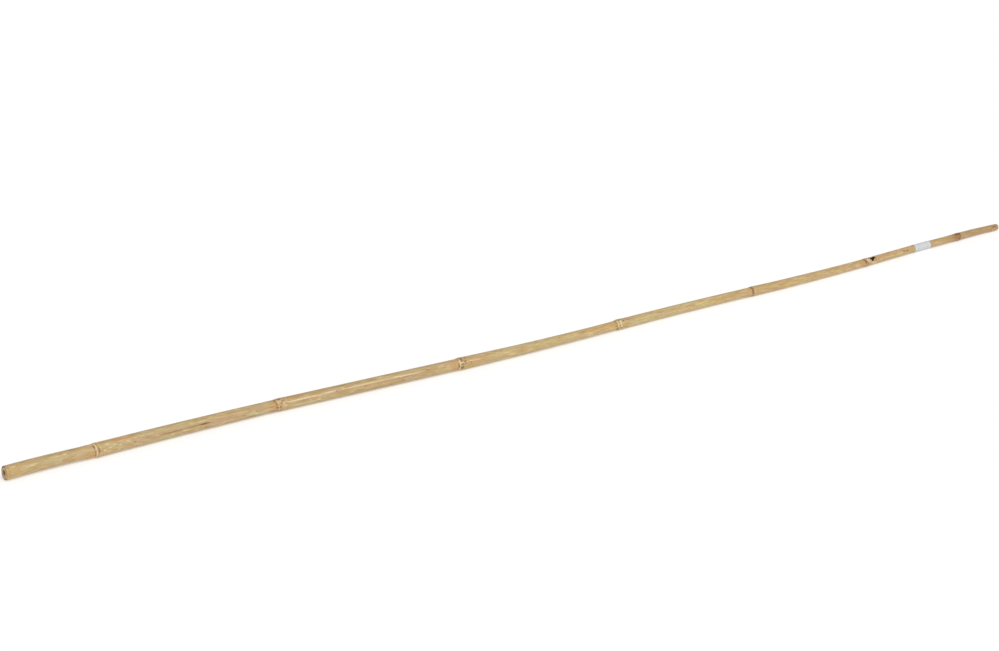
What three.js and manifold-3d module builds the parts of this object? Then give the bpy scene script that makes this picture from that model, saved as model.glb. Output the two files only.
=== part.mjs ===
// A bamboo garden cane, 1.5 m long, lying on the ground.
// It is one grown culm, sawn square at both ends, with a blank paper band near its thin end.
// Millimetres. +X runs from the thick root end to the thin end, +Z is up, and the nodes rest on z = 0.
// Turns around the culm are in degrees, from +Y (away from the viewer) over the top to -Y.

import * as THREE from "three";
import { mergeVertices } from "three/addons/utils/BufferGeometryUtils.js";
import Module from "manifold-3d";

// Driving dimensions

// The stretches between nodes, from the root end. Each has its length and its diameter just past
// its lower node, halfway, and just short of its upper node. Bow is how far its middle stands
// aside, towards +Y, from the straight line between its ends.
const INTERNODES = [
  { length: 97.5, base: 14.6, middle: 13.8, top: 13.2, bow: 1.8 },
  { length: 216.5, base: 15.0, middle: 14.0, top: 12.9, bow: 1.3 },
  { length: 233.5, base: 13.9, middle: 13.6, top: 13.0, bow: -0.2 },
  { length: 236, base: 14.4, middle: 12.1, top: 11.2, bow: -2.4 },
  { length: 223.5, base: 12.6, middle: 12.0, top: 11.2, bow: 1.4 },
  { length: 212, base: 12.2, middle: 11.4, top: 10.3, bow: -2 },
  { length: 193.5, base: 10.7, middle: 9.9, top: 9.5, bow: 1.4 },
  { length: 73.5, base: 10.1, middle: 9.6, top: 8.9, bow: 1 },
  { length: 14, base: 8.8, middle: 8.7, top: 8.6, bow: 0 },
];

// The nodes between them. Lip is the sheath ring's height on the diameter, swell is that of the
// soft ridge beside it, and lead is where the ridge's middle lies along the culm from the ring.
// Aside is where the node's centre lies across the straight line from end to end. Bud is the turn
// of its branch scar.
const NODES = [
  { lip: 0.3, swell: 0.9, lead: -4, aside: 0.4, bud: 20 },
  { lip: 0.3, swell: 0.4, lead: 6, aside: 1.1, bud: 100 },
  { lip: 0.4, swell: 0.2, lead: 3, aside: -11.4, bud: 169 },
  { lip: 0.4, swell: 0.5, lead: 3, aside: -11.7, bud: 84 },
  { lip: 0.3, swell: 0.4, lead: 3, aside: -12.5, bud: 340 },
  { lip: 0.2, swell: 0.5, lead: 0, aside: -10.1, bud: 127 },
  { lip: 0.4, swell: 0.9, lead: -3, aside: -1.4, bud: 350 },
  { lip: 0.2, swell: 0.5, lead: 3, aside: 0.7, bud: 158 },
];
const THIN_END_ASIDE = 0.9;

const LIP_HALF_WIDTH = 0.9;
const SWELL_HALF_WIDTH = 8;
const STEP_HALF_WIDTH = 1.5;      // how quickly the plain diameter steps over a ring

const SAWN_EDGE = 0.4;            // the worn corner round each sawn face
// The open hollow in the root end. It is a little off the culm's middle, away from the viewer, and
// this much wood is left between its floor and the first ring.
const PITH = { radius: 2.2, aside: 1.2, diaphragm: 4, mouth: 1, step: 25 };

const SCAR = { length: 10, width: 4.2, height: 0.6, past: 8, margin: 1 };
const STUB_NODE = 5;
const STUB = { past: 11.5, base: 2.9, rim: 2.5, rise: 1.7, root: 2, stretch: 1.7, lean: 38 };
const SOCKET = { radius: 1.8, stretch: 1.6, depth: 3 };

const BAND = { middle: 1336, length: 32.5, thickness: 0.25, gap: 0.35 };

const SIDES = 24;                 // facets round the culm, with a flat one on the ground
const NODE_STEPS = [-16, -10, -6, -3, -1.5, -0.6, 0, 0.6, 1.5, 3, 6, 10, 16];
const INTERNODE_STEP = 45;
const CLOSEST_RINGS = 0.5;

// Where everything lies along the culm

const LENGTH = INTERNODES.reduce((sum, internode) => sum + internode.length, 0);
const NODES_AT = [];
INTERNODES.slice(0, -1).reduce((at, internode) => {
  NODES_AT.push(at + internode.length);
  return at + internode.length;
}, 0);
const STARTS_AT = [0, ...NODES_AT];

function internodeAt(along) {
  const next = NODES_AT.findIndex((at) => along < at);
  return next < 0 ? INTERNODES.length - 1 : next;
}

function bell(distance, halfWidth) {
  return Math.exp(-((distance / halfWidth) ** 2));
}

// The smooth curve through an internode's three diameters, which also runs a little past its ends.
function plainDiameter(index, along) {
  const { length, base, middle, top } = INTERNODES[index];
  const t = THREE.MathUtils.clamp((along - STARTS_AT[index]) / length, 0, 1);
  const sag = middle - (base + top) / 2;
  return base + (top - base) * t + 4 * sag * t * (1 - t);
}

function diameterAt(along) {
  const index = internodeAt(along);
  let diameter = plainDiameter(index, along);
  NODES.forEach((node, i) => {
    const past = along - NODES_AT[i];
    if (Math.abs(past) < STEP_HALF_WIDTH) {
      const share = THREE.MathUtils.smoothstep(past, -STEP_HALF_WIDTH, STEP_HALF_WIDTH);
      diameter = THREE.MathUtils.lerp(plainDiameter(i, along), plainDiameter(i + 1, along), share);
    }
  });
  NODES.forEach((node, i) => {
    const past = along - NODES_AT[i];
    diameter += node.lip * bell(past, LIP_HALF_WIDTH);
    diameter += node.swell * bell(past - node.lead, SWELL_HALF_WIDTH);
  });
  return diameter;
}

// A node's greatest diameter, on its ring or on the swelling beside it.
function widestNear(at) {
  return Math.max(...NODE_STEPS.map((step) => diameterAt(at + step)));
}

// The centre line. It wanders only sideways, so every node lies on the ground.
const SEAT = Math.cos(Math.PI / SIDES) / 2;
const seatHeights = NODES_AT.map((at) => widestNear(at) * SEAT);
const ENDS = {
  asides: [0, ...NODES.map((node) => node.aside), THIN_END_ASIDE],
  heights: [seatHeights[0], ...seatHeights, seatHeights[seatHeights.length - 1]],
};

function centreAt(along) {
  const index = internodeAt(along);
  const { length, bow } = INTERNODES[index];
  const t = (along - STARTS_AT[index]) / length;
  const aside = THREE.MathUtils.lerp(ENDS.asides[index], ENDS.asides[index + 1], t);
  const height = THREE.MathUtils.lerp(ENDS.heights[index], ENDS.heights[index + 1], t);
  return new THREE.Vector2(aside + 4 * bow * t * (1 - t), height);
}

// Places for the rings of facets: close together at each node and wide apart between them.
function ringsAlong() {
  const rings = [];
  INTERNODES.forEach(({ length }, i) => {
    const start = STARTS_AT[i];
    const steps = Math.max(1, Math.round(length / INTERNODE_STEP));
    for (let step = 1; step < steps; step += 1) {
      rings.push(start + (length * step) / steps);
    }
  });
  NODES_AT.forEach((at) => NODE_STEPS.forEach((step) => rings.push(at + step)));
  return rings
    .filter((along) => along > 2 * SAWN_EDGE && along < LENGTH - 2 * SAWN_EDGE)
    .sort((a, b) => a - b)
    .filter((along, i, all) => i === 0 || along - all[i - 1] > CLOSEST_RINGS);
}

// Solids

// A turned shape, given by (radius, along) points, laid along +X and bent to the centre line.
function turnedOnCentreLine(profile, aside = 0) {
  const geometry = new THREE.LatheGeometry(profile, SIDES, Math.PI / SIDES);
  const position = geometry.attributes.position;
  for (let i = 0; i < position.count; i += 1) {
    const along = position.getY(i);
    const centre = centreAt(THREE.MathUtils.clamp(along, 0, LENGTH));
    position.setXYZ(i, along, centre.x + aside + position.getZ(i), centre.y + position.getX(i));
  }
  return welded(geometry);
}

function welded(geometry) {
  geometry.deleteAttribute("normal");
  geometry.deleteAttribute("uv");
  return mergeVertices(geometry, 1e-4);
}

function culmProfile() {
  const points = [new THREE.Vector2(0, 0)];
  points.push(new THREE.Vector2(diameterAt(0) / 2 - SAWN_EDGE, 0));
  points.push(new THREE.Vector2(diameterAt(0) / 2, SAWN_EDGE));
  ringsAlong().forEach((along) => points.push(new THREE.Vector2(diameterAt(along) / 2, along)));
  points.push(new THREE.Vector2(diameterAt(LENGTH) / 2, LENGTH - SAWN_EDGE));
  points.push(new THREE.Vector2(diameterAt(LENGTH) / 2 - SAWN_EDGE, LENGTH));
  points.push(new THREE.Vector2(0, LENGTH));
  return points;
}

function pithProfile() {
  const floor = NODES_AT[0] - PITH.diaphragm;
  const points = [new THREE.Vector2(0, -PITH.mouth)];
  for (let along = -PITH.mouth; along < floor; along += PITH.step) {
    points.push(new THREE.Vector2(PITH.radius, along));
  }
  points.push(new THREE.Vector2(PITH.radius, floor), new THREE.Vector2(0, floor));
  return points;
}

// Puts a shape, made with +Z out of the culm and +X along it, on the culm's skin.
function seatOnSkin(geometry, along, turn) {
  const angle = THREE.MathUtils.degToRad(turn);
  const radius = diameterAt(along) / 2;
  const centre = centreAt(along);
  const out = new THREE.Vector3(0, Math.cos(angle), Math.sin(angle));
  const forward = new THREE.Vector3(1, 0, 0);
  const across = new THREE.Vector3().crossVectors(out, forward);
  const frame = new THREE.Matrix4().makeBasis(forward, across, out);
  frame.setPosition(along, centre.x + out.y * radius, centre.y + out.z * radius);
  return geometry.applyMatrix4(frame);
}

// The low oval mark that a trimmed branch leaves just past a node.
function branchScar(index) {
  const geometry = new THREE.SphereGeometry(1, 10, 6);
  const past = Math.min(SCAR.past, (LENGTH - NODES_AT[index]) / 2);
  const halfLength = Math.min(SCAR.length / 2, past - SCAR.margin);
  geometry.scale(halfLength, SCAR.width / 2, SCAR.height);
  return seatOnSkin(geometry, NODES_AT[index] + past, NODES[index].bud);
}

// A leaning oval post on the skin. The broken branch is one, and a thinner one shapes its socket.
function leaningPost({ base, rim, stretch, low, high }) {
  const geometry = new THREE.CylinderGeometry(rim, base, high - low, 12);
  geometry.translate(0, (high + low) / 2, 0);
  geometry.rotateX(Math.PI / 2);
  geometry.scale(stretch, 1, 1);
  geometry.rotateY(THREE.MathUtils.degToRad(STUB.lean));
  return seatOnSkin(geometry, NODES_AT[STUB_NODE] + STUB.past, NODES[STUB_NODE].bud);
}

// Joining and cutting

const wasm = await Module();
wasm.setup();

function toSolid(geometry) {
  const { position } = geometry.attributes;
  return new wasm.Manifold(
    new wasm.Mesh({
      numProp: 3,
      vertProperties: new Float32Array(position.array),
      triVerts: new Uint32Array(geometry.index.array),
    }),
  );
}

function toGeometry(solid) {
  const mesh = solid.getMesh();
  const geometry = new THREE.BufferGeometry();
  geometry.setAttribute("position", new THREE.BufferAttribute(new Float32Array(mesh.vertProperties), 3));
  geometry.setIndex(new THREE.BufferAttribute(new Uint32Array(mesh.triVerts), 1));
  geometry.computeVertexNormals();
  return geometry;
}

function culm() {
  let solid = toSolid(turnedOnCentreLine(culmProfile()));
  solid = solid.subtract(toSolid(turnedOnCentreLine(pithProfile(), PITH.aside)));
  NODES.forEach((node, i) => {
    if (i !== STUB_NODE) {
      solid = solid.add(toSolid(welded(branchScar(i))));
    }
  });
  const stub = leaningPost({ ...STUB, low: -STUB.root, high: STUB.rise });
  const { radius, stretch, depth } = SOCKET;
  const socket = leaningPost({
    base: radius,
    rim: radius,
    stretch,
    low: STUB.rise - depth,
    high: STUB.rise + depth,
  });
  solid = solid.add(toSolid(welded(stub))).subtract(toSolid(welded(socket)));
  return toGeometry(solid);
}

// The closed paper sleeve, which follows the culm's taper.
function paperBand() {
  const start = BAND.middle - BAND.length / 2;
  const stations = [0, 0.5, 1].map((share) => start + share * BAND.length);
  const inside = stations.map((along) => new THREE.Vector2(diameterAt(along) / 2 + BAND.gap, along));
  const outside = inside.map(({ x, y }) => new THREE.Vector2(x + BAND.thickness, y));
  return turnedOnCentreLine([...outside, ...inside.reverse(), outside[0].clone()]);
}

// The assembly

function named(name, geometry, colour, roughness) {
  const material = new THREE.MeshStandardMaterial({ color: colour, roughness, metalness: 0 });
  const mesh = new THREE.Mesh(geometry, material);
  mesh.name = name;
  return mesh;
}

const cane = new THREE.Group();
cane.add(named("bamboo_cane", culm(), "#c8ae80", 0.55));
cane.add(named("paper_band", paperBand(), "#dcdcd8", 0.9));

const box = new THREE.Box3().setFromObject(cane);
const middle = box.getCenter(new THREE.Vector3());
cane.position.set(-middle.x, -middle.y, -box.min.z);

export default cane;
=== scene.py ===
"""A bamboo garden cane lying on a pale floor: one grown culm, and a blank paper band pasted round it.

Sizes are in millimetres until a mesh is made, and Blender's own units are metres.
The culm runs along +X from its thick root end. "Along" is the distance from that end, and "turn" is
the angle round the culm, from +Y over the top to -Y, which faces the camera.
"""

import math

import bpy
import numpy as np
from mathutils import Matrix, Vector


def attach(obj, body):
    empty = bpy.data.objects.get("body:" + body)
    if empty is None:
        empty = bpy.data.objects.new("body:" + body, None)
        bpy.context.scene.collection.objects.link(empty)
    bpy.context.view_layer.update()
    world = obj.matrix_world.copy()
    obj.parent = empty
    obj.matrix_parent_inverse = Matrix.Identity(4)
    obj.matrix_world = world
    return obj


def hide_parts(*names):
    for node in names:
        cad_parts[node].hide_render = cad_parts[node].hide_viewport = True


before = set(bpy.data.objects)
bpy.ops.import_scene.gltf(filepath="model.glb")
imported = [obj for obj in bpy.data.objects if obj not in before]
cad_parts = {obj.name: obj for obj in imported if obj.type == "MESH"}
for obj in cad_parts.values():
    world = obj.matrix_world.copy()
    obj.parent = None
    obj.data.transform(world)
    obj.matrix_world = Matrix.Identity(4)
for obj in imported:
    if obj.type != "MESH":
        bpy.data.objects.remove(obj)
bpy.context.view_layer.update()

MM = 0.001
PER_MM = 1 / MM

# The culm's growth: one row for each stretch between nodes, with its length, its diameter at its
# base, middle and top, how far its middle bows aside, and how ochre and how dull its skin is.
INTERNODES = np.array([
    (97.5, 14.6, 13.8, 13.2, 1.8, 0.30, 0.08),
    (216.5, 15.0, 14.0, 12.9, 1.3, 0.25, 0.10),
    (233.5, 13.9, 13.6, 13.0, -0.2, 0.30, 0.17),
    (236, 14.4, 12.1, 11.2, -2.4, 0.38, 0.08),
    (223.5, 12.6, 12.0, 11.2, 1.4, 0.45, 0.0),
    (212, 12.2, 11.4, 10.3, -2.0, 0.78, 0.0),
    (193.5, 10.7, 9.9, 9.5, 1.4, 0.85, 0.03),
    (73.5, 10.1, 9.6, 8.9, 1.0, 1.0, 0.36),
    (14, 8.8, 8.7, 8.6, 0.0, 1.0, 0.44),
])
LENGTHS, BASES, MIDDLES, TOPS, BOWS, OCHRES, DULLNESSES = INTERNODES.T

# Its nodes: the sheath ring's height and the soft swelling's, both on the diameter, how far past
# the ring the swelling's middle lies, the node's place aside, and the turn of its bud.
NODES = np.array([
    (0.3, 0.9, -4, 0.4, 20),
    (0.3, 0.4, 6, 1.1, 100),
    (0.4, 0.2, 3, -11.4, 169),
    (0.4, 0.5, 3, -11.7, 84),
    (0.3, 0.4, 3, -12.5, 340),
    (0.2, 0.5, 0, -10.1, 127),
    (0.4, 0.9, -3, -1.4, 350),
    (0.2, 0.5, 3, 0.7, 158),
])
LIPS, SWELLS, LEADS, ASIDES, BUDS = NODES.T

# How strongly each node's rings are coloured: the cream lip, the brown line under it, the pale
# second ring on the swelling, and how much the ring slants towards the bud.
NODE_COLOURS = [
    (1.0, 0.7, 0.2, 0.5),
    (0.4, 0.6, 0.2, 0.5),
    (1.3, 0.6, 0.1, 0.8),
    (0.5, 0.6, 0.4, 0.5),
    (0.1, 0.5, 0.2, 0.4),
    (0.3, 1.2, 0.1, 1.5),
    (0.1, 1.4, 0.1, 0.4),
    (0.3, 0.4, 0.1, 0.4),
]

THIN_END_ASIDE = 0.9
STEP_HALF_WIDTH = 1.5
SWELL_HALF_WIDTH = 8

# Where a node's widest place is looked for, past its ring.
SWELL_REACH = np.arange(-8, 12.5, 0.5)

# The hollow in the root end, which runs to the first node's diaphragm. Its lip's points are how
# far in they lie, and how much wider than the hollow.
PITH_RADIUS = 2.2
PITH_ASIDE = 1.2
DIAPHRAGM = 4
DIAPHRAGM_DOME = 1.5
HOLLOW_STEP = 6
HOLLOW_LIP = [(1.2, 0), (0.5, 0.04), (0.12, 0.18)]
BUTT_FACE_FROM = PITH_RADIUS + 0.4
BUTT_CORNER = 0.6

# The thin end, whose pith is a shallow pit. The pit's points are how deep they lie, and their radius.
TIP_CORNER = 1.2
TIP_PITH_RADIUS = 1.1
TIP_PIT = [(0.5, 0.9), (0.9, 0.5), (1.0, 0)]

# The sawn faces: how far in they count as face, how far they are out of square for each millimetre
# up and across, and the saw marks' height and closeness.
FACE_DEPTH = 0.3
BUTT_SLOPE = (0.035, 0.02)
TIP_SLOPE = -0.02
SAW_MARK_HEIGHT = 0.035
SAW_MARKS = 5.2

FLOOR_CLEARANCE = 0.02

# The skin's mesh: its sides, and its steps along. The steps are fine from just before each node's
# ring to past its scar, and on both sides of the stub, and grow from there.
SIDES = 72
FINE_STEP = 0.44
COARSE_STEP = 1.5
STEP_GROWTH = 0.2
FINE_BEFORE = 2.5
FINE_AFTER = 13.5
STUB_FINE = 7

LENGTH = LENGTHS.sum()
STARTS = np.concatenate([[0], np.cumsum(LENGTHS)[:-1]])
NODES_AT = STARTS[1:]


def bell(distance, half_width):
    return np.exp(-((distance / half_width) ** 2))


def smooth_step(low, high, value):
    share = np.clip((value - low) / (high - low), 0, 1)
    return share * share * (3 - 2 * share)


def internode_at(along):
    """Which internode each place lies in, and what share of it lies behind the place."""
    index = np.searchsorted(NODES_AT, along, side="right")
    return index, (along - STARTS[index]) / LENGTHS[index]


def plain_diameter(index, along):
    """The smooth taper of one internode, through its three diameters."""
    share = np.clip((along - STARTS[index]) / LENGTHS[index], 0, 1)
    sag = MIDDLES[index] - (BASES[index] + TOPS[index]) / 2
    return BASES[index] + (TOPS[index] - BASES[index]) * share + 4 * sag * share * (1 - share)


def diameter_at(along):
    """The culm's diameter with its swellings, but without the sharp sheath rings."""
    along = np.asarray(along, float)
    index, _ = internode_at(along)
    diameter = plain_diameter(index, along)
    for node, at in enumerate(NODES_AT):
        step = smooth_step(-STEP_HALF_WIDTH, STEP_HALF_WIDTH, along - at)
        below = plain_diameter(np.full(along.shape, node), along)
        above = plain_diameter(np.full(along.shape, node + 1), along)
        near = np.abs(along - at) < STEP_HALF_WIDTH
        diameter = np.where(near, below + (above - below) * step, diameter)
    for at, swell, lead in zip(NODES_AT, SWELLS, LEADS):
        diameter = diameter + swell * bell(along - at - lead, SWELL_HALF_WIDTH)
    return diameter


def radius_at(along):
    return diameter_at(along) / 2


def widest_at_nodes():
    """Each node's greatest diameter, on its ring or on the swelling beside it."""
    beside = NODES_AT[:, None] + SWELL_REACH
    return np.maximum(diameter_at(beside).max(1), diameter_at(NODES_AT) + LIPS)


def centre_at(along):
    """The centre line's place aside and its height, with every node's ring on the floor."""
    seats = widest_at_nodes() / 2
    asides = np.concatenate([[0], ASIDES, [THIN_END_ASIDE]])
    heights = np.concatenate([seats[:1], seats, seats[-1:]])
    index, share = internode_at(np.clip(along, 0, LENGTH))
    bow = 4 * BOWS[index] * share * (1 - share)
    aside = asides[index] + (asides[index + 1] - asides[index]) * share + bow
    height = heights[index] + (heights[index + 1] - heights[index]) * share
    return aside, height


# Grown details, each at its real place on the culm.

SCAR_PAST = 8
SCAR_LENGTH = 9.5
SCAR_WIDTH = 3.8
STUB_NODE = 5
STUB_AT = NODES_AT[STUB_NODE] + 11.5
STUB_LENGTH = 12.5
STUB_WIDTH = 6.2
STUB_RISE = 1.25
SOCKET_TURN = 2
SOCKET_LENGTH = 9.5
SOCKET_WIDTH = 4.2
SOCKET_DEPTH = 3.4
PEELED_AT = STUB_AT - 7.5
PEELED_TURN = 4
PEELED_LENGTH = 9
PEELED_WIDTH = 5
GROOVE_REACH = 90
GROOVE_DEPTH = 0.28
GROOVE_HALF_TURN = 0.42

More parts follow.
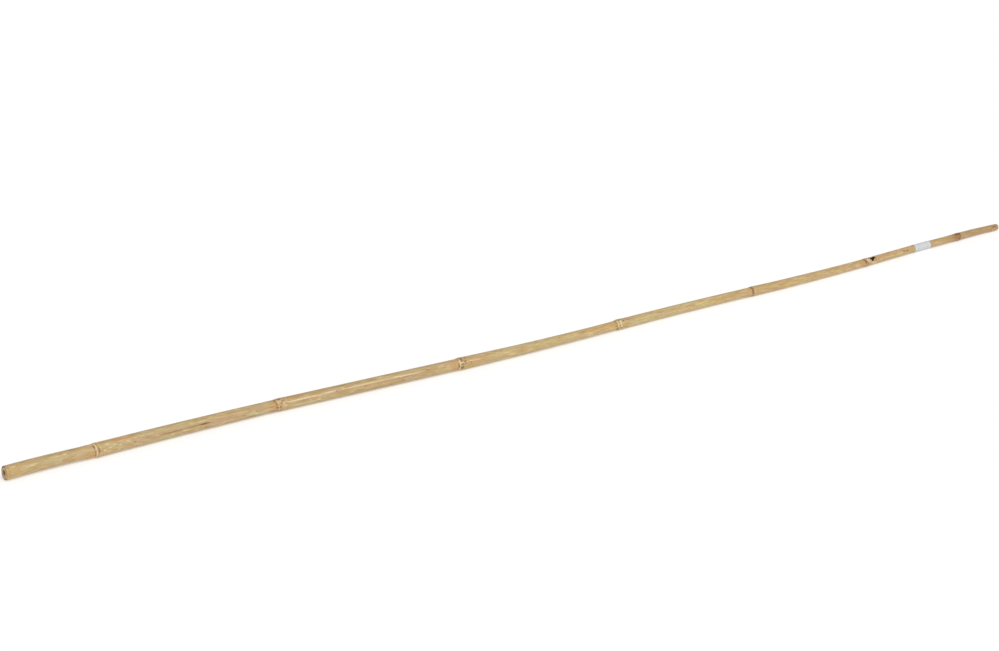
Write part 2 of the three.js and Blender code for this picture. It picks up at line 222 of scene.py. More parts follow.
# Stains, painted highlights and painted shade on the skin, by colour: along, turn, length, width and
# strength.
STAINS_AND_PAINTED_LIGHT = {
    # Painted shade in the broken branch's socket, near black.
    "socket_shade": [
        (1228.5, 135, 4.5, 2.2, 1), (1234.5, 118, 6, 1.6, 1),
    ],
    "brown": [
        (2.6, 105, 1.3, 2.2, 0.6), (2.6, 128, 1.3, 1.8, 0.6), (2.6, 176, 1.3, 2, 0.6),
        (2.8, 152, 1.3, 2.2, 0.6), (20, 102, 19.5, 1.3, 0.35), (49.5, 101, 4, 1.5, 0.3),
        (61.5, 177, 2.9, 1.2, 0.35), (73.5, 97, 9.2, 2.2, 0.35), (96, 132, 1.6, 6.3, 0.6),
        (100, 148, 1.6, 2.5, 0.4), (100.5, 173, 1.7, 6.2, 0.65), (141, 169, 2.9, 1.2, 0.8),
        (156, 163, 13.8, 1.2, 0.3), (176.5, 167, 12, 1.6, 0.6), (188, 167, 17, 1.6, 0.6),
        (208, 165, 24, 1.5, 0.55), (223.5, 166, 15, 1.7, 0.9), (226, 205, 6.9, 2.2, 0.4),
        (271, 180, 4.6, 1.6, 0.3), (281.5, 213, 16.1, 2, 0.35), (286.5, 168, 2.9, 1.4, 0.6),
        (304, 160, 5.8, 1.2, 0.5), (307.5, 209, 10.9, 3.1, 0.5), (311, 110, 3.4, 2.1, 0.85),
        (311.5, 132, 2.9, 1.4, 0.85), (311.5, 148, 2.3, 1.2, 0.7), (312, 183, 2.9, 1.9, 0.95),
        (313.5, 164, 2.3, 1.2, 0.6), (316, 181, 2.3, 1.4, 0.95), (317, 107, 2.9, 1.8, 1),
        (317.5, 149, 2.9, 1.3, 0.85), (320, 129, 2.3, 1.2, 0.85), (321.5, 157, 1.7, 1.2, 0.6),
        (346.5, 170, 13.2, 1.2, 0.3), (385.5, 149, 2.3, 1.2, 0.8), (393.5, 105, 13.2, 2, 0.6),
        (421.5, 166, 4.6, 1.2, 0.5), (432, 119, 13.2, 1.2, 0.35), (443.5, 210, 46, 1.2, 0.4),
        (471, 198, 4.6, 1.8, 0.7), (475.5, 163, 43.1, 1.2, 0.4), (504, 149, 4.6, 1.6, 0.7),
        # From 545 to 561 along, round the third node, the brown marks are partly dark fibre and
        # partly painted shade under the ring's lip and beside the scar's raised bars.
        (545, 177, 1.7, 5.6, 0.7), (546.5, 103, 1.7, 5.6, 0.6), (549.5, 164, 2.3, 1.2, 0.7),
        (549.5, 200, 3.6, 4, 1), (550, 115, 2.9, 2.8, 1), (550, 136, 2.9, 1.2, 0.7),
        (550.5, 89, 1.7, 3.5, 0.8), (552.5, 171, 2.3, 1.2, 0.7), (553.5, 143, 2.9, 1.2, 0.85),
        (553.5, 157, 2.3, 1.2, 0.7), (555.5, 106, 2.9, 1.9, 0.85), (561, 121, 2.3, 1.7, 0.5),
        (606, 125, 3.4, 1.3, 0.5), (728, 136, 9.2, 1.2, 0.35), (780, 163, 2.9, 1.3, 0.7),
        (780.5, 111, 2.3, 1.6, 0.8), (780.5, 140, 2.9, 1.5, 0.8), (782, 209, 3.4, 2.5, 0.9),
        (784.5, 137, 1.7, 1.2, 0.7), (785, 174, 1.7, 1.2, 0.7), (785.5, 93, 2.3, 2.4, 0.7),
        (787, 106, 3.4, 1.6, 1), (787, 200, 2.9, 1.9, 0.85), (792, 130, 3.4, 1.7, 1),
        (799.5, 127, 10.9, 1.2, 0.3), (854, 142, 11.5, 1.2, 0.3), (873.5, 147, 7.5, 1.3, 0.5),
        (1004, 121, 4.6, 1.3, 0.4), (1006.5, 150, 1.9, 26, 0.75), (1007.5, 124, 2.9, 2.8, 0.5),
        (1007.5, 160, 2.3, 3.2, 0.3), (1215, 106, 2.6, 4, 0.8), (1216, 122, 2.9, 3, 0.9),
        (1217, 138, 2.6, 4, 0.9), (1218, 152, 2.9, 3, 0.9), (1220, 181, 2.9, 2.2, 0.9),
        (1296.5, 154, 2.8, 2.2, 1), (1303, 156, 3, 2.3, 1), (1308, 143, 3.4, 1.2, 0.35),
        (1313.5, 159, 4, 1.2, 0.4), (1399, 161, 3.4, 1.3, 0.6), (1407, 150, 12, 14, 0.5),
        (1411, 95, 8, 6, 0.6), (1413.5, 201, 4, 4, 0.9), (1414, 145, 4, 3.2, 0.8),
        (1415, 150, 2.6, 16, 1), (1415.5, 107, 4.6, 4.6, 1), (1490, 142, 9.2, 2.3, 0.8),
    ],
    # The long thin cream lines near turn 150, from 347 to 611 along, are painted highlight along the
    # upper front of the culm.
    "cream": [
        (8, 127, 5.8, 1.7, 0.5), (64, 132, 4, 1.5, 0.9), (106.5, 177, 4, 1.8, 0.8),
        (110.5, 193, 2.9, 1.4, 0.8), (111, 133, 4.6, 1.8, 0.7), (113, 165, 5.2, 1.4, 0.7),
        (118.5, 148, 2.9, 1.2, 0.6), (123, 199, 2.9, 1.4, 0.6), (124.5, 162, 3.4, 1.4, 0.8),
        (134, 147, 4, 1.4, 0.6), (142.5, 139, 2.9, 1.4, 0.7), (150.5, 137, 3.4, 1.2, 0.5),
        (186, 187, 4, 1.5, 0.6), (199, 187, 2.3, 1.2, 0.5), (256, 193, 4, 1.9, 0.4),
        (286, 189, 4, 1.4, 0.5), (314, 170, 2.9, 1.6, 0.9), (315, 130, 4, 2.2, 1),
        (318.5, 171, 1.7, 1.2, 0.6), (320.5, 160, 2.9, 1.2, 0.7), (322, 174, 3.4, 1.6, 0.9),
        (324, 136, 3.4, 1.2, 0.7), (347, 151, 54.6, 1.4, 0.9), (363.5, 169, 3.4, 1.2, 0.5),
        (363.5, 189, 3.4, 1.5, 0.7), (378, 145, 15.5, 1.2, 1), (394, 141, 3.4, 1.3, 0.8),
        (422.5, 146, 60, 1.4, 0.8), (443, 119, 2.9, 1.7, 0.5), (468.5, 148, 24, 1.4, 0.8),
        (485.5, 152, 14.9, 1.2, 0.6), (530, 154, 4, 1.7, 0.5), (550, 152, 5.8, 1.3, 1),
        (556, 156, 3.4, 1.5, 1), (560, 149, 4.6, 1.2, 0.6), (569.5, 153, 17.8, 1.2, 0.55),
        (597, 155, 4, 1.2, 0.5), (610.5, 153, 13.2, 1.2, 0.6), (783, 175, 2.3, 1.6, 0.9),
        (784, 108, 2.3, 2.1, 1), (784, 153, 2.3, 1.9, 0.95), (784.5, 131, 2.9, 1.6, 1),
        (784.5, 200, 2.9, 1.2, 0.8), (787.5, 153, 2.9, 1.7, 0.9), (787.5, 182, 3.4, 2.3, 0.9),
        (788.5, 124, 2.9, 2.7, 1), (790, 157, 2.3, 1.2, 0.6), (1010.5, 160, 1.7, 6, 0.2),
        (1223, 122, 5.8, 2.9, 0.9), (1225.5, 156, 4.6, 1.9, 1), (1230.5, 184, 5.8, 1.7, 0.9),
        (1234.5, 213, 3.4, 2.7, 0.8), (1236.5, 194, 4, 1.4, 0.7), (1364, 152, 5.2, 1.4, 0.5),
    ],
    "green": [
        (3, 132, 8, 5.3, 0.4), (48.5, 148, 29.3, 3.2, 0.4), (108, 135, 14.4, 5.1, 0.8),
        (116.5, 152, 4.6, 4, 0.6), (169, 134, 29.3, 3.2, 0.45), (192, 140, 20.1, 2.4, 0.4),
        (295.5, 126, 25.9, 3, 0.4), (326.5, 171, 18.4, 3.5, 0.5), (380, 124, 8, 1.7, 0.4),
        (443.5, 105, 8, 2.9, 0.4), (459, 136, 8, 1.2, 0.4), (619.5, 100, 21.8, 5.4, 0.4),
        (674, 146, 17.8, 2.2, 0.7), (802, 159, 23, 2.4, 0.5), (838.5, 171, 14.9, 3.4, 0.4),
        (1168, 206, 12.6, 2.4, 0.5), (1225, 98, 9.2, 2.8, 0.7),
    ],
    # Many of the orange lines lie near turn 190 to 222, darker along the lower front of the culm.
    "orange": [
        (2.2, 150, 2.2, 24, 0.6), (4.5, 193, 12.6, 1.8, 0.8), (8, 150, 16, 26, 0.25),
        (17.5, 202, 14.9, 1.5, 0.7), (70.5, 197, 7.5, 2.3, 0.7), (93.5, 201, 8, 2.6, 0.7),
        (104.5, 104, 10.3, 3, 1), (108, 204, 8.6, 1.5, 0.6), (119, 195, 9.2, 1.7, 0.9),
        (126, 113, 24.7, 2.7, 1), (135.5, 190, 8.6, 2.1, 0.6), (259, 117, 4.6, 2.2, 0.5),
        (303, 160, 11.5, 1.2, 1), (312, 150, 9, 16, 0.35), (334, 113, 9.8, 2.5, 1),
        (357.5, 179, 5.2, 1.2, 0.5), (443, 205, 46.6, 1.5, 0.6), (491.5, 190, 9.2, 1.7, 0.8),
        (503, 152, 14.9, 3.9, 0.4), (541.5, 199, 9.2, 2.2, 0.9), (548.5, 201, 2.9, 2, 1),
        (574, 190, 9.2, 1.7, 0.7), (613.5, 190, 5.8, 1.8, 0.7), (726.5, 143, 16.1, 2.4, 0.7),
        (742, 146, 19, 2.7, 0.9), (764, 132, 35.6, 6.9, 0.45), (875, 123, 10.3, 1.7, 0.5),
        (1004, 218, 10.3, 3.6, 0.8), (1006.5, 200, 2.9, 3, 0.7), (1161, 147, 9.8, 1.3, 0.75),
        (1164.5, 100, 28.7, 4.2, 0.35), (1208, 153, 11.5, 8.2, 0.4), (1300, 155, 13.2, 3, 0.35),
        (1363, 139, 5.2, 2, 0.7), (1363, 172, 4, 2.1, 0.6), (1385.5, 215, 45.4, 2.3, 0.7),
        (1407.5, 139, 8.6, 8.2, 0.6), (1414.5, 222, 5.8, 2.8, 0.8), (1445, 211, 58.6, 2.2, 0.6),
        (1490, 142, 6.9, 1.9, 0.9),
    ],
    "pink": [
        (26, 125, 38.5, 1.9, 0.6), (26.5, 177, 4, 1.8, 0.5), (63.5, 138, 12.1, 1.9, 0.5),
        (159, 168, 37.9, 2, 0.7), (210.5, 166, 39.7, 1.3, 0.8), (234, 176, 13.8, 2.7, 0.7),
        (252.5, 159, 29.9, 2.9, 0.7), (276.5, 154, 24.7, 2, 0.5), (287.5, 119, 4.6, 2.1, 0.5),
        (292.5, 161, 12.6, 2, 0.6), (348.5, 162, 51.2, 2.2, 0.95), (381.5, 162, 24.1, 1.6, 0.9),
        (408, 142, 20.1, 1.5, 0.6), (424, 158, 20.1, 1.7, 0.95), (450, 160, 90, 2.2, 0.7),
        (465, 172, 9.8, 1.7, 0.6), (572, 145, 23, 1.6, 0.8), (717.5, 179, 8.6, 2.1, 0.5),
        (799.5, 127, 13.2, 1.3, 0.95), (853, 140, 16.1, 1.2, 0.85), (868.5, 136, 19.5, 1.2, 0.7),
        (899, 191, 9.8, 1.7, 0.4), (1012, 150, 1.8, 22, 0.65), (1054.5, 133, 18.4, 1.5, 0.4),
        (1111.5, 158, 9.8, 1.2, 0.6), (1150, 140, 16.7, 1.4, 0.4), (1283, 169, 8, 1.2, 0.5),
        (1418, 151, 4.6, 6.1, 0.5),
    ],
}

# Shallow grooves, pits and one low ridge: along, turn, length, width and depth.
DENTS = [
    (200, 166, 110, 1.5, 0.14), (270, 178, 60, 1.5, 0.08), (370, 146, 90, 1.3, -0.08),
    (1297, 154, 3, 2, 0.22), (1303, 156, 3, 2, 0.22), (504, 149, 4.5, 2, 0.1),
    (430, 20, 70, 2.2, 0.08), (700, 30, 60, 3.0, 0.08), (1120, 10, 60, 2.0, 0.08),
]

SEED = 7
dice = np.random.default_rng(SEED)


def ragged(turn, slowest, fastest, count=9):
    """A wavy line round the culm, about -1 to 1, that meets itself."""
    waves = dice.integers(slowest, fastest + 1, count)
    phases = dice.uniform(0, 2 * math.pi, count)
    return sum(np.sin(wave * turn + phase) for wave, phase in zip(waves, phases)) / math.sqrt(count)


def uneven(turn, middle, swing, slowest, fastest):
    """A share from 0 to 1 that wanders about its middle round the culm."""
    return np.clip(middle + swing * ragged(turn, slowest, fastest), 0, 1)


def turn_from(turn, degrees):
    """Each point's turn away from a given turn, from -pi to pi."""
    return (turn - math.radians(degrees) + math.pi) % (2 * math.pi) - math.pi


class Skin:
    """The culm's outer skin as it is shaped: each point's place, its rise, and its colour masks."""

    def __init__(self, along, turn):
        self.along = along
        self.turn = turn
        self.radius = radius_at(along)
        self.rise = np.zeros(along.shape)
        self.wood = np.zeros(along.shape)
        self.stains_and_light = {colour: np.zeros(along.shape) for colour in STAINS_AND_PAINTED_LIGHT}

    def paint_mark(self, colour, amount):
        self.stains_and_light[colour] += amount

    def offsets(self, along, degrees, length, width):
        """How far each point lies from a spot, in halves of the spot's length and width."""
        lengthwise = (self.along - along) / (length / 2)
        across = turn_from(self.turn, degrees) * self.radius / (width / 2)
        return lengthwise, across

    def oval(self, *spot):
        """Each point's distance from a spot, which is 1 on the spot's edge."""
        return np.hypot(*self.offsets(*spot))


def sheath_ring(skin, node):
    """The scar where the sheath stood: a sharp ragged lip, a groove past it, and stained edges."""
    cream, brown, second, slant = NODE_COLOURS[node]
    towards_bud = np.cos(turn_from(skin.turn, BUDS[node]))
    past = skin.along - NODES_AT[node] + slant * towards_bud
    past = past + 0.22 * ragged(skin.turn, 3, 11)
    fray = 1 + 0.3 * ragged(skin.turn, 12, 28, 14)
    lip = np.where(past < 0, bell(past, 0.9), bell(past, 0.4))
    skin.rise += LIPS[node] / 2 * lip * fray - 0.12 * bell(past - 1.2, 0.6)
    worn = uneven(skin.turn, 0.8, 0.4, 2, 9)
    patchy = uneven(skin.turn, 0.55, 0.7, 2, 14)
    swelling = max(LEADS[node], 3)
    # Each band of colour: its strength, its middle past the ring, and its half width.
    for colour, amount, middle, half_width in (
            ("cream", cream * worn, -0.1, 0.7),
            ("brown", brown * patchy, -1.9, 0.8),
            ("brown", 0.75 * brown * np.clip(1.2 - patchy, 0, 1), 1.5, 0.7),
            ("cream", 0.8 * second, swelling + 1, 1.3),
            ("brown", 0.3 * second, swelling + 3, 0.9),
            ("orange", 0.45 * uneven(skin.turn, 0.5, 0.6, 2, 6), 7, 7),
            ("orange", 0.3, -8, 6)):
        skin.paint_mark(colour, amount * bell(past - middle, half_width))


def bud_groove(skin, node):
    """The shallow channel up the internode from a bud, deepest at its foot."""
    past = skin.along - NODES_AT[node]
    reach = min(GROOVE_REACH, LENGTHS[node + 1] * 0.4)
    across = bell(turn_from(skin.turn, BUDS[node]), GROOVE_HALF_TURN)
    channel = smooth_step(2, 10, past) * np.exp(-np.clip(past, 0, None) / reach) * across
    skin.rise -= GROOVE_DEPTH * channel
    skin.paint_mark("orange", 0.35 * channel)


def branch_scar(skin, node):
    """A trimmed branch: a low oval rim, pale inside its brown edge, round a sunken middle."""
    past = min(SCAR_PAST, LENGTHS[node + 1] / 2)
    length = min(SCAR_LENGTH, LENGTHS[node + 1] * 0.9)
    lengthwise, across = skin.offsets(NODES_AT[node] + past, BUDS[node], length, SCAR_WIDTH)
    bearing = np.arctan2(across, lengthwise)
    oval = np.hypot(lengthwise, across) + 0.06 * ragged(bearing, 2, 6)
    skin.rise += 0.2 * bell(oval - 0.85, 0.3) - 0.1 * bell(oval, 0.35)
    skin.paint_mark("cream", 0.3 * bell(oval - 0.95, 0.2))
    skin.paint_mark("brown", 0.5 * bell(oval - 1.25, 0.16) + 0.6 * bell(oval, 0.3))


def broken_stub(skin):
    """The sixth node's branch, torn away: a raised rim of pale wood round a deep socket, painted
    brown and near black inside as shade.
    """
    bud = BUDS[STUB_NODE]
    lengthwise, across = skin.offsets(STUB_AT, bud, STUB_LENGTH, STUB_WIDTH)
    bearing = np.arctan2(across, lengthwise)
    torn = 0.09 * np.sin(5 * bearing + 1.0) + 0.05 * np.sin(11 * bearing)
    edge = np.hypot(lengthwise, across) + torn
    skin.rise += STUB_RISE * (1 - smooth_step(0.72, 1.12, edge)) * (0.85 + 0.25 * lengthwise)
    skin.wood += 1 - smooth_step(0.9, 1.05, edge)
    skin.paint_mark("brown", 0.55 * bell(edge - 1.15, 0.14))
    peeled = skin.oval(PEELED_AT, bud + PEELED_TURN, PEELED_LENGTH, PEELED_WIDTH) + torn
    skin.wood += 0.7 * (1 - smooth_step(0.7, 1.15, peeled))
    lengthwise, across = skin.offsets(STUB_AT, bud + SOCKET_TURN, SOCKET_LENGTH, SOCKET_WIDTH)
    bearing = np.arctan2(across, lengthwise)
    three_sided = 1 + 0.32 * np.cos(3 * bearing - 2.1) + 0.08 * np.cos(bearing + 2.44)
    edge = np.hypot(lengthwise, across) * three_sided
    inside = 1 - smooth_step(0.7, 1.0, edge)
    skin.rise -= SOCKET_DEPTH * inside
    # Painted shade: brown over the socket and its edge, and near black inside it.
    skin.paint_mark("brown", 1 - smooth_step(0.9, 1.1, edge))
    skin.paint_mark("socket_shade", 3 * inside)


def skin_marks(skin):
    for colour, rows in STAINS_AND_PAINTED_LIGHT.items():
        for *spot, strength in rows:
            skin.paint_mark(colour, strength * np.exp(-(skin.oval(*spot) ** 3)))
    for *spot, depth in DENTS:
        skin.rise -= depth * np.exp(-(skin.oval(*spot) ** 2))


def shape_skin(along, turn):
    skin = Skin(along, turn)
    for node in range(len(NODES)):
        sheath_ring(skin, node)
        bud_groove(skin, node)
        if node != STUB_NODE:
            branch_scar(skin, node)
    broken_stub(skin)
    skin_marks(skin)
    return skin


# Wiring for node trees.


class Wiring:
    """Adds nodes to a tree. An input is given as a value, or as the socket that feeds it."""

    def __init__(self, tree):
        self.tree = tree

    def add(self, kind, inputs=(), **settings):
        node = self.tree.nodes.new(kind)
        for name, value in settings.items():
            setattr(node, name, value)
        for key, value in dict(inputs).items():
            if isinstance(value, bpy.types.NodeSocket):
                self.tree.links.new(value, node.inputs[key])
            else:
                node.inputs[key].default_value = value
        return node

    def math(self, operation, *values, clamp=False):
        node = self.add("ShaderNodeMath", enumerate(values), operation=operation, use_clamp=clamp)
        return node.outputs[0]

    def plus(self, *values, **settings):
        return self.math("ADD", *values, **settings)

    def minus(self, *values):
        return self.math("SUBTRACT", *values)

    def times(self, *values, **settings):
        return self.math("MULTIPLY", *values, **settings)

    def vector(self, operation, *values):
        return self.add("ShaderNodeVectorMath", enumerate(values), operation=operation).outputs[0]

    def combine(self, *values):
        return self.add("ShaderNodeCombineXYZ", enumerate(values)).outputs[0]

    def noise(self, vector, scale, detail=2.0, roughness=0.5, w=None):
        inputs = {"Vector": vector, "Scale": scale, "Detail": detail, "Roughness": roughness}
        if w is not None:
            inputs["W"] = w
        dimensions = "3D" if w is None else "4D"
        return self.add("ShaderNodeTexNoise", inputs, noise_dimensions=dimensions).outputs[0]

    def ramp(self, value, low, high):
        """0 below low, 1 above high, and smooth between them."""
        inputs = {"Value": value, "From Min": low, "From Max": high}
        return self.add("ShaderNodeMapRange", inputs, interpolation_type="SMOOTHSTEP").outputs[0]

    def mix(self, factor, first, second):
        inputs = {0: factor, 6: first, 7: second}
        return self.add("ShaderNodeMix", inputs, data_type="RGBA").outputs[2]

    def cover(self, colour, amount, share, code):
        """Lays a colour over another where the amount is high. The share is the most it covers."""
        return self.mix(self.times(amount, share), colour, linear(code))


def linear(code):
    """A colour as Blender wants it, from a code such as c8ae80."""
    channels = [int(code[i:i + 2], 16) / 255 for i in (0, 2, 4)]
    spread = [c / 12.92 if c <= 0.04045 else ((c + 0.055) / 1.055) ** 2.4 for c in channels]
    return (*spread, 1.0)


# The sweep that turns the culm's outline into a skin round its centre line.


def new_tree(name, sockets):
    """An empty geometry tree whose inputs are (name, kind, value) rows, besides its geometry."""
    tree = bpy.data.node_groups.new(name, "GeometryNodeTree")
    tree.is_modifier = True
    tree.interface.new_socket("Geometry", in_out="INPUT", socket_type="NodeSocketGeometry")
    for socket, kind, value in sockets:
        made = tree.interface.new_socket(socket, in_out="INPUT", socket_type=kind)
        if value is not None:
            made.default_value = value
    tree.interface.new_socket("Geometry", in_out="OUTPUT", socket_type="NodeSocketGeometry")
    return tree, Wiring(tree)


def close_tree(wiring, geometry, material):
    """Ends a tree with real geometry and its material."""
    real = wiring.add("GeometryNodeRealizeInstances", {0: geometry}).outputs[0]
    painted = wiring.add("GeometryNodeSetMaterial", {"Geometry": real, "Material": material})
    wiring.add("NodeGroupOutput", {0: painted.outputs[0]})


# How many swells of the ribs' noise there are to a metre along, and to a radius across and up.
RIB_SCALE = (12.0, 9.0, 9.0)


def culm_sweep():
    """Sweeps an outline of (along, radius) points round the centre line that they carry."""
    tree, w = new_tree("culm_sweep", [
        ("Sides", "NodeSocketInt", SIDES),
        ("Out Of Round", "NodeSocketFloat", 0.0),
        ("Twist Length", "NodeSocketFloat", 0.3),
        ("Rib Height", "NodeSocketFloat", 0.0),
        ("Seed", "NodeSocketFloat", 0.0),
        ("Material", "NodeSocketMaterial", None),
    ])
    given = w.add("NodeGroupInput").outputs
    outline = given["Geometry"]
    rings = w.add("GeometryNodeAttributeDomainSize", {0: outline}, component="MESH").outputs[0]
    columns = w.plus(given["Sides"], 1.0)
    grid = w.add("GeometryNodeMeshGrid", {"Vertices X": rings, "Vertices Y": columns}).outputs[0]

    index = w.add("GeometryNodeInputIndex").outputs[0]
    ring = w.math("FLOOR", w.math("DIVIDE", w.plus(index, 0.5), columns))
    side = w.minus(index, w.times(ring, columns))
    turn = w.times(w.math("DIVIDE", side, given["Sides"]), 2 * math.pi)

    def sampled(value, kind):
        inputs = {"Geometry": outline, "Value": value, "Index": ring}
        return w.add("GeometryNodeSampleIndex", inputs, data_type=kind, domain="POINT").outputs[0]

    def named(name, kind):
        node = w.add("GeometryNodeInputNamedAttribute", {"Name": name}, data_type=kind)
        return sampled(node.outputs[0], kind)

    place = sampled(w.add("GeometryNodeInputPosition").outputs[0], "FLOAT_VECTOR")
    along, radius, _ = w.add("ShaderNodeSeparateXYZ", {0: place}).outputs
    centre = named("centre", "FLOAT_VECTOR")
    on_skin = named("on_skin", "FLOAT")

    cosine = w.math("COSINE", turn)
    sine = w.math("SINE", turn)
    round_way = w.vector("SCALE", w.combine(0.0, cosine, sine))
    wander = w.combine(w.math("DIVIDE", along, given["Twist Length"]), cosine, sine)
    unevenness = w.minus(w.noise(wander, 0.9, 1.0, w=given["Seed"]), 0.5)
    fibres = w.vector("MULTIPLY", w.combine(along, cosine, sine), RIB_SCALE)
    ribs = w.minus(w.noise(fibres, 1.0, 2.0, w=given["Seed"]), 0.5)
    rise = w.plus(w.times(unevenness, given["Out Of Round"]),
                  w.times(ribs, given["Rib Height"]))
    reach = w.plus(radius, w.times(rise, on_skin))
    spoke = w.vector("MULTIPLY", round_way, w.combine(reach, reach, reach))
    where = w.vector("ADD", centre, spoke)
    swept = w.add("GeometryNodeSetPosition", {"Geometry": grid, "Position": where}).outputs[0]

    straight = w.combine(w.times(cosine, reach), w.times(sine, reach), along)
    kept = (("straight", straight, "FLOAT_VECTOR"), ("on_skin", on_skin, "FLOAT"))
    for name, value, kind in kept:
        inputs = {"Geometry": swept, "Name": name, "Value": value}
        swept = w.add("GeometryNodeStoreNamedAttribute", inputs, data_type=kind).outputs[0]
    outward = w.add("GeometryNodeFlipFaces", {0: swept}).outputs[0]
    welded = w.add("GeometryNodeMergeByDistance", {0: outward, "Distance": 1e-6}).outputs[0]
    shaded = w.add("GeometryNodeSetShadeSmooth", {0: welded, "Shade Smooth": True}).outputs[0]
    close_tree(w, shaded, given["Material"])
    return tree


def new_object(name, data):
    made = bpy.data.objects.new(name, data)
    bpy.context.scene.collection.objects.link(made)
    return made


def run_tree(name, mesh, tree, values):
    """Runs a tree on a mesh, and gives the result as a plain mesh. Values go by input name."""
    holder = new_object(name + "_source", mesh)
    modifier = holder.modifiers.new(name, "NODES")
    modifier.node_group = tree
    for item in tree.interface.items_tree:
        if item.in_out == "INPUT" and item.name in values:
            modifier[item.identifier] = values[item.name]
    depsgraph = bpy.context.evaluated_depsgraph_get()
    result = bpy.data.meshes.new_from_object(holder.evaluated_get(depsgraph), depsgraph=depsgraph)
    holder.modifiers.remove(modifier)
    bpy.data.objects.remove(holder)
    bpy.data.meshes.remove(mesh)
    result.name = name
    result.materials.clear()
    result.materials.append(values["Material"])
    result.polygons.foreach_set("material_index", np.zeros(len(result.polygons), np.int32))
    return result


# The culm


def ring_places():
    """Rings along the skin: close together at the nodes and the stub, and wide apart elsewhere."""
    fine = [(at - FINE_BEFORE, at + FINE_AFTER) for at in NODES_AT]
    fine.append((STUB_AT - STUB_FINE, STUB_AT + STUB_FINE))
    places = []
    along = BUTT_CORNER
    while along < LENGTH - TIP_CORNER:
        places.append(along)
        away = min(max(low - along, along - high, 0) for low, high in fine)
        along += min(FINE_STEP + STEP_GROWTH * away, COARSE_STEP)
    return places


def corner(size, degrees):
    """A rounded corner's points: how far each lies behind the sawn face, and inside the skin."""
    angles = np.radians(degrees)
    return zip(size * (1 - np.cos(angles)), size * (1 - np.sin(angles)))


def culm_outline():
    """The outline from the floor of the root end's hollow, over the skin, to the thin end's pith.

    Rows are along, radius, and 1 on the skin or 0 off it.
    """
    floor = NODES_AT[0] - DIAPHRAGM
    butt = radius_at(0)
    tip = radius_at(LENGTH)
    rows = []
    for share in (0, 0.4, 0.8, 1):
        rows.append((floor + DIAPHRAGM_DOME * (1 - share ** 2), PITH_RADIUS * share, 0))
    rows += [(floor - depth, PITH_RADIUS, 0) for depth in np.arange(4, floor - 1, HOLLOW_STEP)]
    rows += [(depth, PITH_RADIUS + wider, 0) for depth, wider in HOLLOW_LIP]
    rows += [(0, radius, 0) for radius in np.linspace(BUTT_FACE_FROM, butt - BUTT_CORNER, 9)]
    rows += [(behind, butt - inside, 0) for behind, inside in corner(BUTT_CORNER, (22, 45, 68))]
    rows += [(along, radius_at(along), 1) for along in ring_places()]
    for behind, inside in corner(TIP_CORNER, (75, 55, 35, 15)):
        rows.append((LENGTH - behind, tip - inside, 0))
    rows += [(LENGTH, radius, 0) for radius in np.linspace(tip - TIP_CORNER, TIP_PITH_RADIUS, 5)]
    rows += [(LENGTH - depth, radius, 0) for depth, radius in TIP_PIT]
    return np.array(rows)


def outline_mesh(rows):
    """The outline as a mesh of points in metres, each carrying the culm's centre there."""
    mesh = bpy.data.meshes.new("culm_outline")
    along, radius, on_skin = rows.T
    points = np.stack([along, radius, np.zeros(len(rows))], 1) * MM
    mesh.from_pydata(points.tolist(), [(i, i + 1) for i in range(len(rows) - 1)], [])
    aside, height = centre_at(along)
    centre = np.stack([along - LENGTH / 2, aside - aside_middle(), height], 1) * MM
    write_attribute(mesh, "centre", centre)
    write_attribute(mesh, "on_skin", on_skin)
    return mesh


def aside_middle():
    """Half way between the culm's two sides, which is the frame's y = 0."""
    along = np.linspace(0, LENGTH, 3001)
    aside, _ = centre_at(along)
    radius = radius_at(along)
    return float(((aside - radius).min() + (aside + radius).max()) / 2)


def culm_place(along, turn, out):
    """A point beside the culm in metres: how far along, at what turn, and how far from its skin."""
    aside, height = centre_at(along)
    reach = radius_at(along) + out
    y = aside - aside_middle() + reach * np.cos(turn)
    z = height + reach * np.sin(turn)
    return np.stack([along - LENGTH / 2, y, z], -1) * MM


def read_attribute(mesh, name):
    """A mesh's point attribute, as numbers or as rows of three."""
    attribute = mesh.attributes[name]
    parts, field = (3, "vector") if attribute.data_type == "FLOAT_VECTOR" else (1, "value")
    values = np.zeros(len(mesh.vertices) * parts, np.float32)
    attribute.data.foreach_get(field, values)
    return values.astype(float).reshape(-1, parts).squeeze()


def write_attribute(mesh, name, values):
    """Gives each of a mesh's points a number, or a vector where the values are rows of three."""
    values = np.asarray(values, np.float32)
    kind, field = ("FLOAT_VECTOR", "vector") if values.ndim == 2 else ("FLOAT", "value")
    mesh.attributes.new(name, kind, "POINT").data.foreach_set(field, values.ravel())


